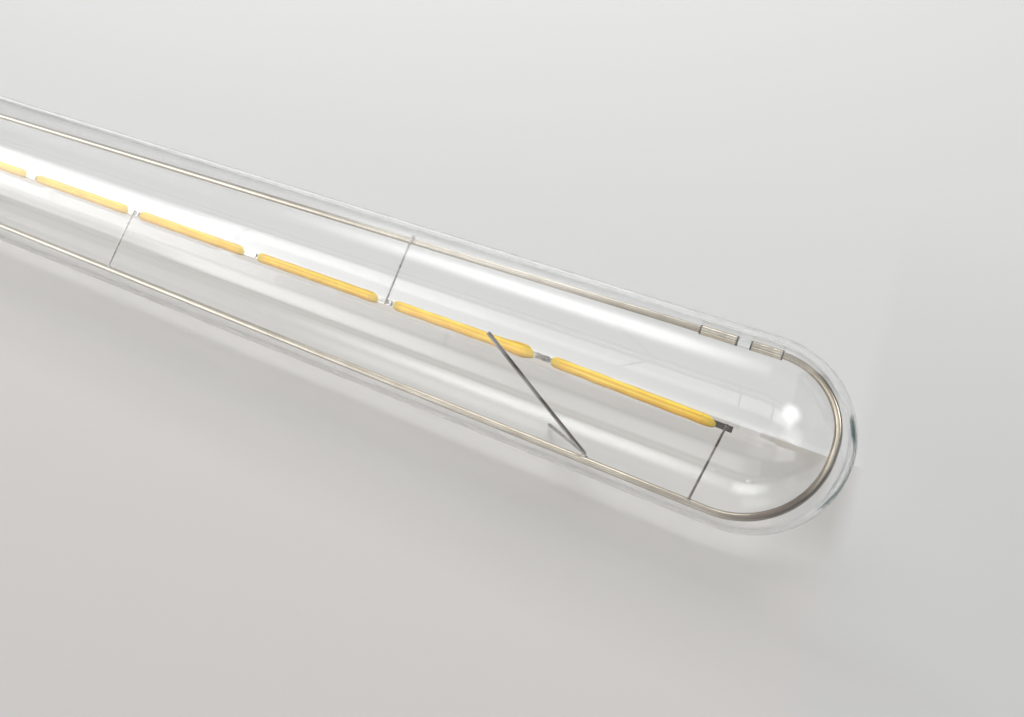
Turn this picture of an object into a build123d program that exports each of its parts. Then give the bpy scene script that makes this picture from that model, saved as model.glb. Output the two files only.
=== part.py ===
from build123d import *
import os
from math import atan2, cos, degrees, radians, sin, sqrt

# Clear tubular filament lamp, lying along X: centre contact at the origin, domed end at +X.
# Everything is drawn with the wire frame in the XY plane, near leg at -Y, and the finished lamp is then
# rolled about X to the angle at which it lies. Millimetres and degrees.

# Glass bulb
TUBE_DIAMETER = 28.0
GLASS_WALL = 0.9
NECK_LENGTH = 9.5
SHOULDER_LENGTH = 9.0
LAMP_ROLL = 35.4

# Glass stem
STEM_WALL = 0.8
STEM_TUBE_DIAMETER = 11.2
STEM_TUBE_LENGTH = 1.5
FLARE_LENGTH = 11.0
RIM_LAND = 0.8
PRESS_LENGTH = 6.5
PRESS_BLEND = 6.0
PRESS_MARGIN = 2.1
PRESS_THICKNESS = 4.4
PRESS_CORNER = 1.6
EXHAUST_DIAMETER = 4.4
EXHAUST_WALL = 0.7
EXHAUST_STUB = 4.0
EXHAUST_PORT = 1.6

# Screw cap of the 27 mm Edison size, the thread's crests as one cylinder
SHEET = 0.3
THREAD_DIAMETER = 26.2
THREAD_LENGTH = 13.8
LIP_DIAMETER = 21.2
LIP_HEIGHT = 4.4
LIP_CONE = 2.0
SKIRT_DIAMETER = 26.6
SKIRT_LENGTH = 6.2
SKIRT_STEP = 0.6
RIM_FLARE = 0.3
RIM_HEIGHT = 0.6
NECK_IN_CAP = 6.5
CEMENT_THICKNESS = 0.7
CEMENT_SETBACK = 0.4
INSULATOR_LEDGE = 0.6
INSULATOR_FACE = 11.0
CONTACT_DIAMETER = 9.8
CONTACT_THICKNESS = 0.8
CONTACT_CHAMFER = 0.3
SHANK_DIAMETER = 3.2
SHANK_LENGTH = 3.5

# Driver on a round board
BOARD_DIAMETER = 19.4
BOARD_THICKNESS = 1.0
CAPACITOR_DIAMETER = 6.3
CAPACITOR_HEIGHT = 7.0
CAPACITOR_OFFSET = 5.9
RESISTOR_DIAMETER = 2.4
RESISTOR_HEIGHT = 6.5
RESISTOR_PLACE = (-6.0, 3.2)
CHIP_SIZE = (1.5, 4.8, 3.9)
CHIP_SIDE = 4.6
CHIP_DROP = 4.0
HOOKUP_DIAMETER = 0.6
NEUTRAL_ANGLE = 40.0
NEUTRAL_START = 7.0

# Wire frame
WIRE_DIAMETER = 1.2
LEAD_DIAMETER = 0.5
FRAME_SIDE_GAP = 0.35
FRAME_TIP_GAP = 1.1
BEND_SKEW = 1.85
BEND_FLAT = 1.2
NEAR_LEG_TAPER = 1.4
FAR_LEG_TAPER = 2.6
LEAD_WALL_GAP = 0.95
LEG_FOOT_DEPTH = 6.0
LEG_RISE = 2.0
KNEE_LENGTH = 5.0
KNEE_RADIUS = 3.0
FAR_LEG_STRAIGHT = 3.0
FAR_LEG_EASE = 60.0
SLEEVE_WALL = 0.23
SLEEVE_FAR_LENGTH = 5.6
SLEEVE_BEND_LENGTH = 4.6
ROD_GAP = 1.8
ROD_COLLAR = 0.2

# Filament chain
FILAMENT_PAIRS = 4
FILAMENT_LENGTH = 25.7
JOINT_GAP = 2.8
FILAMENT_WIDTH = 1.65
FILAMENT_THICKNESS = 1.15
FILAMENT_CORNER = 0.4
END_TAPER = 0.3
TAB_WIDTH = 0.9
TAB_THICKNESS = 0.25
TAB_CLEARANCE = 0.5
TAB_ROOT = 1.2
CHAIN_START_GAP = 2.7
CHAIN_END_GAP = 2.8
CHAIN_OFFSET = 0.3
END_JOINT_SAG = 0.4
FEED_DIAMETER = 0.35
FEED_HOOK = 0.7
END_FEED_SLANT = 1.4

# Spreader spring
SPRING_DIAMETER = 0.6
SPRING_SETBACK = 19.9
LONG_PRONG_RUN = 16.3
LONG_PRONG_SPREAD = 87.0
SHORT_PRONG_RUN = 9.1
SHORT_PRONG_SPREAD = 47.0
SPRING_BEND = 0.5

# Room left where a wire lies against another piece
TOUCH = 0.02

# Radii
tube_r = TUBE_DIAMETER / 2
bore_r = tube_r - GLASS_WALL
thread_r = THREAD_DIAMETER / 2
skirt_r = SKIRT_DIAMETER / 2
neck_r = skirt_r - SHEET - CEMENT_THICKNESS
neck_bore_r = neck_r - GLASS_WALL
stem_r = STEM_TUBE_DIAMETER / 2
stem_bore_r = stem_r - STEM_WALL
wire_r = WIRE_DIAMETER / 2
feed_r = FEED_DIAMETER / 2
spring_r = SPRING_DIAMETER / 2

# Stations along the axis, from the centre contact to the dome
thread_x = LIP_HEIGHT + LIP_CONE
board_x = thread_x + INSULATOR_LEDGE
board_top_x = board_x + BOARD_THICKNESS
skirt_x = thread_x + THREAD_LENGTH + SKIRT_STEP
cap_x = skirt_x + SKIRT_LENGTH
neck_x = cap_x - NECK_IN_CAP
flare_x = neck_x + FLARE_LENGTH
blend_x = flare_x + STEM_TUBE_LENGTH
press_x = blend_x + PRESS_BLEND
stem_top_x = press_x + PRESS_LENGTH
rise_x = stem_top_x + LEG_RISE
knee_x = rise_x + KNEE_LENGTH
chain_start_x = knee_x + CHAIN_START_GAP
filament_count = 2 * FILAMENT_PAIRS
filament_pitch = FILAMENT_LENGTH + JOINT_GAP
chain_end_x = chain_start_x + filament_count * filament_pitch
dome_x = chain_end_x + CHAIN_END_GAP

# Wire frame: offset of the legs from the axis, the bend and the sleeved joint beside it
leg_y = bore_r - FRAME_SIDE_GAP - wire_r
foot_x = stem_top_x - LEG_FOOT_DEPTH
foot_y = stem_bore_r - LEAD_WALL_GAP - LEAD_DIAMETER / 2
apex_x = dome_x + bore_r - FRAME_TIP_GAP - wire_r
bend_far_radius = leg_y - BEND_SKEW
bend_near_radius = leg_y + BEND_SKEW - BEND_FLAT
sleeve_bend_x = apex_x - bend_far_radius - SLEEVE_BEND_LENGTH
sleeve_far_x = sleeve_bend_x - ROD_GAP - SLEEVE_FAR_LENGTH
parallel_x = sleeve_far_x - FAR_LEG_STRAIGHT
far_leg_end_x = sleeve_far_x + SLEEVE_FAR_LENGTH / 2
bend_end_x = sleeve_bend_x + SLEEVE_BEND_LENGTH / 2


def near_leg_y(x):
    """Distance of the near leg from the axis at station x of its straight taper."""
    return leg_y - NEAR_LEG_TAPER * (apex_x - x) / (apex_x - knee_x)


def far_leg_y(x):
    """Distance of the far leg from the axis at station x of its straight taper."""
    return leg_y - FAR_LEG_TAPER * max(parallel_x - x, 0) / (parallel_x - knee_x)


def turned(*points):
    """A solid of revolution about X from (station, radius) points."""
    return revolve(make_face(Polyline(*points, close=True)), Axis.X)


def rod(start_x, end_x, diameter, y=0.0, z=0.0):
    """A straight round bar along X."""
    base = Plane(origin=(start_x, y, z), z_dir=(1, 0, 0))
    return extrude(base * Circle(diameter / 2), end_x - start_x)


def wire_along(path, diameter):
    """A round wire along a path."""
    section = Plane(origin=path @ 0, z_dir=path % 0) * Circle(diameter / 2)
    return sweep(section, path=path)


def bent_wire(diameter, points, radius):
    """A round wire along straight runs joined by tangent arcs."""
    return wire_along(FilletPolyline(*points, radius=radius), diameter)


def block(size, corner):
    """A box given by its size and its lowest corner."""
    return Pos(*corner) * Box(*size, align=Align.MIN)


def bulb_profile(neck, tube):
    """Outline of one skin of the bulb, from its neck to the tip of the dome."""
    shoulder_x = neck_x + NECK_LENGTH
    tube_x = shoulder_x + SHOULDER_LENGTH
    middle_x = shoulder_x + SHOULDER_LENGTH / 2
    shoulder = Bezier((shoulder_x, neck), (middle_x, neck), (middle_x, tube), (tube_x, tube))
    dome = CenterArc((dome_x, 0), tube, 0, 90)
    return [
        Line((neck_x, neck), (shoulder_x, neck)),
        shoulder,
        Line((tube_x, tube), (dome_x, tube)),
        dome,
    ]


def glass_tube():
    outer = bulb_profile(neck_r, tube_r)
    inner = bulb_profile(neck_bore_r, bore_r)
    ends = [
        Line((neck_x, neck_bore_r), (neck_x, neck_r)),
        Line((dome_x + bore_r, 0), (dome_x + tube_r, 0)),
    ]
    return revolve(make_face(Wire(outer + inner + ends)), Axis.X)


def flare_curve(rim_x, rim_radius, tube_radius):
    """Trumpet curve from the flare's rim to the stem's straight tube."""
    run = flare_x - rim_x
    return Bezier(
        (rim_x, rim_radius),
        (rim_x + run / 6, tube_radius),
        (rim_x + run / 2, tube_radius),
        (flare_x, tube_radius),
    )


def stem_tube():
    """The flare and the straight tube behind the press, open towards the cap."""
    rim_r = neck_bore_r - STEM_WALL
    edges = [
        Line((neck_x, rim_r), (neck_x, neck_bore_r)),
        Line((neck_x, neck_bore_r), (neck_x + RIM_LAND, neck_bore_r)),
        flare_curve(neck_x + RIM_LAND, neck_bore_r, stem_r),
        Line((flare_x, stem_r), (blend_x, stem_r)),
        Line((blend_x, stem_r), (blend_x, stem_bore_r)),
        Line((blend_x, stem_bore_r), (flare_x, stem_bore_r)),
        flare_curve(neck_x, rim_r, stem_bore_r),
    ]
    return revolve(make_face(Wire(edges)), Axis.X)


def press():
    """The flattened solid end of the stem, which grips the legs."""
    width = 2 * (foot_y + wire_r + PRESS_MARGIN)
    flat = RectangleRounded(width, PRESS_THICKNESS, min(PRESS_CORNER, 0.45 * PRESS_THICKNESS))
    start = Plane(origin=(blend_x, 0, 0), x_dir=(0, 1, 0), z_dir=(1, 0, 0))
    across = Plane(origin=(press_x, 0, 0), x_dir=(0, 1, 0), z_dir=(1, 0, 0))
    return loft([start * Circle(stem_r), across * flat]) + extrude(across * flat, PRESS_LENGTH)


def glass_stem():
    """Flare, press and exhaust tube fused as one piece, drilled for the wires that it grips."""
    tip_x = neck_x - EXHAUST_STUB
    bore_end_x = blend_x + PRESS_BLEND / 2
    bore = EXHAUST_DIAMETER - 2 * EXHAUST_WALL
    exhaust = rod(tip_x, blend_x, EXHAUST_DIAMETER)
    exhaust = chamfer(exhaust.edges().sort_by(Axis.X)[0], EXHAUST_WALL)
    stem = stem_tube() + press() + exhaust
    stem -= rod(tip_x + EXHAUST_WALL, bore_end_x, bore)
    port = Plane(origin=(bore_end_x - EXHAUST_PORT / 2, 0, 0)) * Circle(EXHAUST_PORT / 2)
    stem -= extrude(port, stem_r)
    for side in (-1, 1):
        stem -= rod(foot_x, stem_top_x, WIRE_DIAMETER, side * foot_y)
        stem -= rod(blend_x, foot_x, LEAD_DIAMETER, side * foot_y)
    return stem


def shell_outline(inset):
    """Outline of one side of the cap's sheet, set in by a radius, from lip to rim."""
    return [
        (LIP_HEIGHT, LIP_DIAMETER / 2 - inset),
        (thread_x + inset / 2, thread_r - inset),
        (skirt_x - SKIRT_STEP, thread_r - inset),
        (skirt_x, skirt_r - inset),
        (cap_x - RIM_HEIGHT, skirt_r - inset),
        (cap_x, skirt_r + RIM_FLARE - inset),
    ]


def screw_shell():
    return turned(*shell_outline(0), *reversed(shell_outline(SHEET)))


def basing_cement():
    """Ring that fills the skirt round the glass neck."""
    start_x = skirt_x + CEMENT_SETBACK
    end_x = cap_x - RIM_HEIGHT - CEMENT_SETBACK
    return rod(start_x, end_x, 2 * (skirt_r - SHEET)) - rod(start_x, end_x, 2 * neck_r)


def cap_insulator():
    lip, shoulder = shell_outline(SHEET)[:2]
    shank_x = CONTACT_THICKNESS + SHANK_LENGTH
    body = turned(
        (CONTACT_THICKNESS, 0),
        (CONTACT_THICKNESS, INSULATOR_FACE / 2),
        lip,
        shoulder,
        (board_x, shoulder[1]),
        (board_x, 0),
    )
    body -= rod(CONTACT_THICKNESS, shank_x, SHANK_DIAMETER)
    return body - rod(shank_x, board_x, HOOKUP_DIAMETER)


def centre_contact():
    """Round-headed contact pin, pressed into the insulator on the live wire."""
    disc = rod(0, CONTACT_THICKNESS, CONTACT_DIAMETER)
    disc = chamfer(disc.edges().sort_by(Axis.X)[0], CONTACT_CHAMFER)
    return disc + rod(CONTACT_THICKNESS, CONTACT_THICKNESS + SHANK_LENGTH, SHANK_DIAMETER)


def driver_chip(side):
    """A small flat package on the board, low on the near (-1) or the far (+1) side."""
    _, width, depth = CHIP_SIZE
    return block(CHIP_SIZE, (board_top_x, side * CHIP_SIDE - width / 2, -CHIP_DROP - depth / 2))


def smoothing_capacitor():
    return rod(board_top_x, board_top_x + CAPACITOR_HEIGHT, CAPACITOR_DIAMETER, 0, CAPACITOR_OFFSET)


def fuse_resistor():
    return rod(board_top_x, board_top_x + RESISTOR_HEIGHT, RESISTOR_DIAMETER, *RESISTOR_PLACE)


def neutral_wire():
    """Straight out across the board to the inside of the shell."""
    out = Vector(0, cos(radians(NEUTRAL_ANGLE)), sin(radians(NEUTRAL_ANGLE)))
    on_board = Vector(board_top_x + HOOKUP_DIAMETER / 2 + TOUCH, 0, 0)
    end = on_board + out * (thread_r - SHEET - TOUCH)
    return wire_along(Line(on_board + out * NEUTRAL_START, end), HOOKUP_DIAMETER)


def frame_wire_near():
    """Near leg and the bend round the inside of the dome, one wire."""
    points = (
        (foot_x, -foot_y),
        (rise_x, -foot_y),
        (knee_x, -near_leg_y(knee_x)),
        (apex_x, -leg_y),
        (apex_x, leg_y),
        (bend_end_x, leg_y),
    )
    return bent_wire(WIRE_DIAMETER, points, (KNEE_RADIUS, KNEE_RADIUS, bend_near_radius, bend_far_radius))


def frame_wire_far():
    points = (
        (foot_x, foot_y),
        (rise_x, foot_y),
        (knee_x, far_leg_y(knee_x)),
        (parallel_x, leg_y),
        (far_leg_end_x, leg_y),
    )
    return bent_wire(WIRE_DIAMETER, points, (KNEE_RADIUS, KNEE_RADIUS, FAR_LEG_EASE))


def sleeve(start_x, length):
    tube = rod(start_x, start_x + length, WIRE_DIAMETER + 2 * SLEEVE_WALL, leg_y)
    return tube - rod(start_x, start_x + length, WIRE_DIAMETER, leg_y)


def insulator_rod():
    """Glass rod gripped by both sleeves, thicker in the gap between them."""
    core = rod(far_leg_end_x, bend_end_x, WIRE_DIAMETER, leg_y)
    return core + rod(sleeve_bend_x - ROD_GAP, sleeve_bend_x, WIRE_DIAMETER + 2 * ROD_COLLAR, leg_y)


def joint_place(number):
    """Station and sideways offset of a weld between tabs, counted from the dome end."""
    x = chain_end_x - number * filament_pitch
    return (x, -END_JOINT_SAG if number == 0 else CHAIN_OFFSET)


def filament(number):
    """One coated strip and its two end tabs; the cap-end tab lies under its neighbour's dome-end tab."""
    end_x, end_y = joint_place(number - 1)
    start_x, start_y = joint_place(number)
    half = FILAMENT_LENGTH / 2
    corner = min(FILAMENT_CORNER, 0.45 * FILAMENT_THICKNESS)
    across = Plane(origin=(-half, 0, 0), x_dir=(0, 1, 0), z_dir=(1, 0, 0))
    body = extrude(across * RectangleRounded(FILAMENT_WIDTH, FILAMENT_THICKNESS, corner), FILAMENT_LENGTH)
    ends = body.faces().sort_by(Axis.X)
    body = chamfer(ends[0].edges() + ends[-1].edges(), min(END_TAPER, 0.8 * corner))
    reach = JOINT_GAP - TAB_CLEARANCE
    size = (TAB_ROOT + reach, TAB_WIDTH, TAB_THICKNESS)
    cap_tab = block(size, (-half - reach, -TAB_WIDTH / 2, -TAB_THICKNESS - TOUCH / 2))
    dome_tab = block(size, (half - TAB_ROOT, -TAB_WIDTH / 2, TOUCH / 2))
    body = body - cap_tab - dome_tab
    tilt = degrees(atan2(end_y - start_y, end_x - start_x))
    place = Pos((start_x + end_x) / 2, (start_y + end_y) / 2, 0) * Rot(0, 0, tilt)
    return place * body, place * cap_tab, place * dome_tab


def feed_wire(number):
    """From a weld on the chain to the near leg's shoulder, or over the far leg and down behind it."""
    x, y = joint_place(2 * (number - 1))
    on_tab_z = TAB_THICKNESS + feed_r + 2 * TOUCH
    if number % 2:
        foot = x - END_FEED_SLANT if number == 1 else x
        shoulder_y = sqrt(wire_r**2 - (on_tab_z - feed_r) ** 2) + TOUCH - near_leg_y(foot)
        return wire_along(Line((x, y + TAB_WIDTH / 2, on_tab_z), (foot, shoulder_y, on_tab_z)), FEED_DIAMETER)
    over_z = wire_r + feed_r + TOUCH
    behind_y = far_leg_y(x) + over_z
    points = ((x, y - TAB_WIDTH / 2, on_tab_z), (x, behind_y, over_z), (x, behind_y, over_z - FEED_HOOK))
    return bent_wire(FEED_DIAMETER, points, feed_r + TOUCH)


def spreader_spring():
    """V of spring wire: its corner on the near leg, its prongs against the glass above and below."""
    corner_x = dome_x - SPRING_SETBACK
    corner = (corner_x, wire_r + spring_r + TOUCH - near_leg_y(corner_x), 0)
    long_tip = prong_tip(corner_x - LONG_PRONG_RUN, 180 - LONG_PRONG_SPREAD)
    short_tip = prong_tip(corner_x - SHORT_PRONG_RUN, 180 + SHORT_PRONG_SPREAD)
    return bent_wire(SPRING_DIAMETER, (long_tip, corner, short_tip), SPRING_BEND)


def prong_tip(x, angle):
    """Where a prong of the spring bears on the bore, at an angle from the far leg's side."""
    reach = bore_r - spring_r - TOUCH
    return (x, reach * cos(radians(angle)), reach * sin(radians(angle)))


def lead_in(side):
    return rod(board_top_x, foot_x, LEAD_DIAMETER, side * foot_y)


pieces = {
    "glass_tube": glass_tube(),
    "glass_stem": glass_stem(),
    "screw_shell": screw_shell(),
    "basing_cement": basing_cement(),
    "cap_insulator": cap_insulator(),
    "centre_contact": centre_contact(),
    "driver_board": rod(board_x, board_top_x, BOARD_DIAMETER),
    "bridge_rectifier": driver_chip(-1),
    "driver_chip": driver_chip(1),
    "smoothing_capacitor": smoothing_capacitor(),
    "fuse_resistor": fuse_resistor(),
    "live_wire": rod(CONTACT_THICKNESS + SHANK_LENGTH, board_x, HOOKUP_DIAMETER),
    "neutral_wire": neutral_wire(),
    "lead_in_near": lead_in(-1),
    "lead_in_far": lead_in(1),
    "frame_wire_near": frame_wire_near(),
    "frame_wire_far": frame_wire_far(),
    "frame_sleeve_far": sleeve(sleeve_far_x, SLEEVE_FAR_LENGTH),
    "frame_sleeve_bend": sleeve(sleeve_bend_x, SLEEVE_BEND_LENGTH),
    "insulator_rod": insulator_rod(),
    "spreader_spring": spreader_spring(),
}
for number in range(1, filament_count + 1):
    body, cap_tab, dome_tab = filament(number)
    pieces[f"filament_{number}"] = body
    pieces[f"cap_tab_{number}"] = cap_tab
    pieces[f"dome_tab_{number}"] = dome_tab
for number in range(1, FILAMENT_PAIRS + 2):
    pieces[f"feed_wire_{number}"] = feed_wire(number)

os.makedirs("parts", exist_ok=True)
for name, piece in pieces.items():
    export_step(Rot(LAMP_ROLL, 0, 0) * piece, os.path.join("parts", f"{name}.step"))
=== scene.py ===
import random
from math import atan2, ceil, cos, pi, radians, sin, sqrt, tan

import bpy
from mathutils import Matrix, Quaternion, Vector

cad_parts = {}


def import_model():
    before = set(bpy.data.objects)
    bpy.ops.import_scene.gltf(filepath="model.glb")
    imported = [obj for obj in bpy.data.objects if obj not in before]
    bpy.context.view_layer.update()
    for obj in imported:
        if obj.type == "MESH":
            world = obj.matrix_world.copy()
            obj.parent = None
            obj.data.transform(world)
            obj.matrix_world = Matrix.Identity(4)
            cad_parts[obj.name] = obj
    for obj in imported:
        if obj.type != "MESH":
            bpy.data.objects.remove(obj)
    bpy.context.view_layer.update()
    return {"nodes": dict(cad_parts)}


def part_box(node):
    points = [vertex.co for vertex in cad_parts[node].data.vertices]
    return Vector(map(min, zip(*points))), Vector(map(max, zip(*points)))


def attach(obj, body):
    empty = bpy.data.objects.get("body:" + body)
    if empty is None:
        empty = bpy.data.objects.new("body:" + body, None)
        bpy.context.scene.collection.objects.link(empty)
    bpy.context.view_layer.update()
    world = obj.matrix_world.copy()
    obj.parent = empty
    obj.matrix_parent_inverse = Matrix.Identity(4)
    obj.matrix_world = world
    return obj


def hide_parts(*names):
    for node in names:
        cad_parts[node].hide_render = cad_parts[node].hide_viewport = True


# Clear tubular filament lamp. Pieces are drawn in millimetres with the wire frame in the XY plane, near leg
# at -Y, then rolled about X and scaled to metres, which puts them where the frame has them.
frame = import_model()
MM = 0.001


def node_box(node):
    """Lowest and highest corner of a node of the frame, in millimetres."""
    low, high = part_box(node)
    return Vector(low) / MM, Vector(high) / MM


# Sizes that the frame gives
glass_low, glass_high = node_box("glass_tube")
tube_r = (glass_high.z - glass_low.z) / 2
neck_x = glass_low.x
dome_x = glass_high.x - tube_r
cap_x = node_box("screw_shell")[1].x

# Glass bulb and stem
LAMP_ROLL = 35.4
GLASS_WALL = 0.9
NECK_RADIUS = 12.3
NECK_LENGTH = 9.5
SHOULDER_LENGTH = 9.0
SHOULDER_HANDLES = (1 / 2, 1 / 2)
STEM_WALL = 0.8
STEM_RADIUS = 5.6
FLARE_LENGTH = 11.0
FLARE_HANDLES = (1 / 6, 1 / 2)
STEM_TUBE_LENGTH = 1.5
FLARE_LAND = 0.8
FLARE_EDGE = 0.2
SEAL_GAP = 0.02
PRESS_BLEND = 6.0
PRESS_LENGTH = 6.5
PRESS_SIZE = (12.6, 4.4)
PRESS_SQUARENESS = 5.0
PRESS_EDGE = 0.7
STEM_FILLET = 0.6
STEM_FILLET_SINK = 0.15
EXHAUST_RADIUS = 2.2
EXHAUST_BORE = 1.5
EXHAUST_STUB = 4.0
EXHAUST_TIP = 1.54
# Ends of the exhaust tube's bore, as (distance from the tip or from the bore's end, radius)
BORE_START = ((0.7, 0.0), (0.9, 0.9), (1.5, EXHAUST_BORE))
BORE_END = ((1.0, EXHAUST_BORE), (0.3, 1.0), (0.0, 0.0))

# Screw cap
SHEET = 0.3
THREAD_RADIUS = 13.1
THREAD_DEPTH = 1.05
THREAD_PITCH = 3.629
THREAD_START = 7.4
THREAD_END = 19.4
THREAD_RUNOUT = 1.6
THREAD_STEPS = 64
CREST_STATION = 8.3
CREST_ANGLE = 75.4
LIP_RADIUS = 10.6
LIP_X = 4.4
LIP_CURVE = (1.0, 1.25)
CONE_X = 6.4
CONE_ROUND = ((-0.3, -0.3), (0.0, -0.08), (0.4, 0.0))
STEP_X = 20.2
STEP_ROUND = (0.2, 0.05)
SKIRT_X = 20.8
SKIRT_RADIUS = 13.3
RIM_FLARE = 0.3
RIM_HEIGHT = 0.6
RIM_ROUND = (0.2, 0.06)
CEMENT_SETBACK = 0.4
CEMENT_GAP = 0.01
CEMENT_DIP = 0.15
CEMENT_CREEP = 0.1
BOARD_X = 7.0
BOARD_TOP_X = 8.0
CONTACT_RADIUS = 4.9
CONTACT_THICKNESS = 0.8
CONTACT_EDGE = 0.45
PIN_RADIUS = 1.6
PIN_END = 4.3
PIN_EDGE = 0.2
INSULATOR_FACE = 5.5
INSULATOR_EDGE = ((0.0, -0.3), (0.1, -0.08), (0.3, 0.0))
INSULATOR_CURVE = ((2.2, 7.5), (3.4, 9.0))

# Wire frame
WIRE_RADIUS = 0.6
LEAD_RADIUS = 0.25
FRAME_SIDE_GAP = 0.35
FRAME_TIP_GAP = 1.1
BEND_SKEW = 1.85
BEND_FLAT = 1.2
NEAR_LEG_TAPER = 1.4
FAR_LEG_TAPER = 2.6
FOOT_Y = 3.6
LEG_FOOT_DEPTH = 6.0
LEG_RISE = 2.0
KNEE_LENGTH = 5.0
KNEE_RADIUS = 3.0
FAR_LEG_STRAIGHT = 3.0
FAR_LEG_EASE = 60.0
SLEEVE_WALL = 0.23
SLEEVE_FAR_LENGTH = 5.6
SLEEVE_BEND_LENGTH = 4.6
SLEEVE_GAP = 0.01
SLEEVE_LIP = 0.05
CRIMP_SHARES = (0.3, 0.68)
CRIMP = ((-0.5, 0.0), (-0.25, 0.012), (0.0, 0.02), (0.25, 0.012), (0.5, 0.0))
ROD_GAP = 1.8
ROD_COLLAR = 0.2
ROD_EDGE = 0.15

# Filament chain
FILAMENT_COUNT = 8
FILAMENT_LENGTH = 25.7
JOINT_GAP = 2.8
FILAMENT_WIDTH = 1.65
FILAMENT_THICKNESS = 1.15
COAT_SQUARENESS = 2.8
COAT_GROOVE_DEPTH = 0.05
COAT_GROOVE_SHARE = 0.3
COAT_WAVE = 1.1
BLUNT_LENGTH = 0.75
BLUNT_SHARE = 0.35
DRAWN_LENGTH = 1.7
DRAWN_LOSS = 0.62
DRAWN_POWER = 1.6
DRAWN_LEAN = 0.5
TIP_EDGE = 0.12
TIP_SHARE = 0.05
SWOLLEN_STRIP = 2
SWELL = 0.36
SWELL_SETBACK = 2.4
SWELL_REACH = 3.2
RING_CROWDING = 1 / (9.2 * pi)
TAB_WIDTH = 0.9
TAB_THICKNESS = 0.25
TAB_CLEARANCE = 0.5
TAB_ROOT = 1.2
TAB_RIM = 0.05
GROOVE_DEPTH = 0.05
GROOVE_HALF = 0.12
GROOVE_EASE = 0.08
GROOVE_RUNOUT = 0.25
DIMPLE_PLACES = (0.85, 1.75)
DIMPLE_DEPTH = 0.06
DIMPLE_SPREAD = 0.07
END_TAB_TWIST = 14.0
END_TAB_DROP = 0.1
CHAIN_END_GAP = 2.8
CHAIN_OFFSET = 0.3
END_JOINT_SAG = 0.4
FEED_RADIUS = 0.175
FEED_HOOK = 0.7
END_FEED_SLANT = 1.4
TOUCH = 0.02
# Weld beads of the feed wires, as (offset, half sizes)
TAB_BEAD = ((0.22, -0.05, TAB_THICKNESS + 0.04), (0.26, 0.24, 0.16))
NEAR_BEAD = ((0.0, -0.05, -0.1), (0.34, 0.3, 0.2))
FAR_BEAD = ((0.0, 0.0, -FEED_RADIUS), (0.3, 0.34, 0.14))

# Glass that lets light through, and depths of fine relief in metres
GLASS_INDEX = 1.52
GLASS_SHADOW = (0.985, 0.987, 0.985)
METAL_RELIEF = 0.00002
COAT_RELIEF = 0.00003
SPECKLE_RELIEF = 0.00004

# Colours across a coated strip, from its near edge to its far edge: streaks of the coat with painted light in
# them, the near half painted lighter and the far half darker against the shading from the key lamp on the far
# side, and two pale stripes that are painted highlights
COAT_STREAKS_AND_PAINTED_LIGHT = (
    (0.0, (0.98, 0.55, 0.05)),
    (0.12, (0.98, 0.58, 0.035)),
    (0.33, (0.97, 0.60, 0.025)),
    (0.40, (1.0, 0.80, 0.15)),
    (0.47, (0.92, 0.57, 0.02)),
    (0.64, (0.84, 0.54, 0.015)),
    (0.75, (1.0, 0.77, 0.08)),
    (0.86, (0.86, 0.57, 0.02)),
    (0.94, (0.55, 0.33, 0.015)),
    (1.0, (0.66, 0.42, 0.03)),
)
STREAK_WANDER = 0.08
CLOUD_COLOUR = (0.90, 0.80, 0.55)
THIN_END = (0.02, 0.08)
THIN_COLOUR = (0.68, 0.46, 0.025)
BUBBLE_COLOUR = (0.30, 0.20, 0.015)
BUBBLE_SCALE = 1900
BUBBLE_SIZE = (0.12, 0.24)
BUBBLE_STATIONS = (0.86, 0.93)
BUBBLE_STRENGTH = 0.75

# Painted dark reflection on the near half of the bend, in metres along and across the frame
BEND_PAINTED_REFLECTION = (0.17, 0.13, 0.10)
BEND_REFLECTION_STATIONS = (0.286, 0.291)
BEND_REFLECTION_OFFSETS = (-0.006, 0.001)

# Stations in metres over which metal, painted lighter towards the cap, turns darker towards the dome, and a
# sleeve's painted shade at its ends as shares
WIRE_PAINTED_LIGHT = (0.12, 0.23)
TAB_PAINTED_LIGHT = (0.215, 0.24)
FEED_PAINTED_LIGHT = (0.215, 0.25)
SLEEVE_END_SHADE = (0.03, 0.06)

# Spreader spring
SPRING_RADIUS = 0.3
SPRING_SETBACK = 19.9
LONG_PRONG = (16.3, 93.0)
SHORT_PRONG = (9.1, 227.0)
SPRING_BEND = 0.5
SPRING_BEAD = ((-0.1, -0.32, 0.0), (0.55, 0.3, 0.42))

# Floor: a shadow painted into its colour under the lamp, by distance across it in millimetres, with a crisp
# painted pale line of caustic light at its far edge; its far side painted lighter, and a painted shade beside
# the lamp on the near side
FLOOR_HALF = 4.0
FLOOR_COLOUR = (0.66, 0.66, 0.655)
FLOOR_PAINTED_SHADOW = (
    (-12.0, (1.03, 1.0, 0.98)),
    (-6.0, (1.0, 0.98, 0.96)),
    (1.0, (0.83, 0.815, 0.795)),
    (8.0, (0.775, 0.75, 0.725)),
    (13.7, (0.80, 0.765, 0.735)),
    (14.0, (1.18, 1.18, 1.18)),
    (14.8, (1.18, 1.18, 1.18)),
    (15.8, (1.09, 1.09, 1.09)),
    (20.0, (1.06, 1.06, 1.06)),
)
PAINTED_SHADOW_END = (301.0, 304.0)
PAINTED_SHADE_START = (-15.0, 10.0)
FAR_PAINTED_LIGHT_SPAN = (20.0, 95.0)
FAR_PAINTED_LIGHT_COLOUR = (0.72, 0.72, 0.715)
NEAR_PAINTED_SHADE_SPAN = (-32.0, -19.0, -13.0)
NEAR_PAINTED_SHADE_COLOUR = (0.59, 0.575, 0.56)
NEAR_PAINTED_SHADE_END = (285.0, 325.0)

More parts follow.
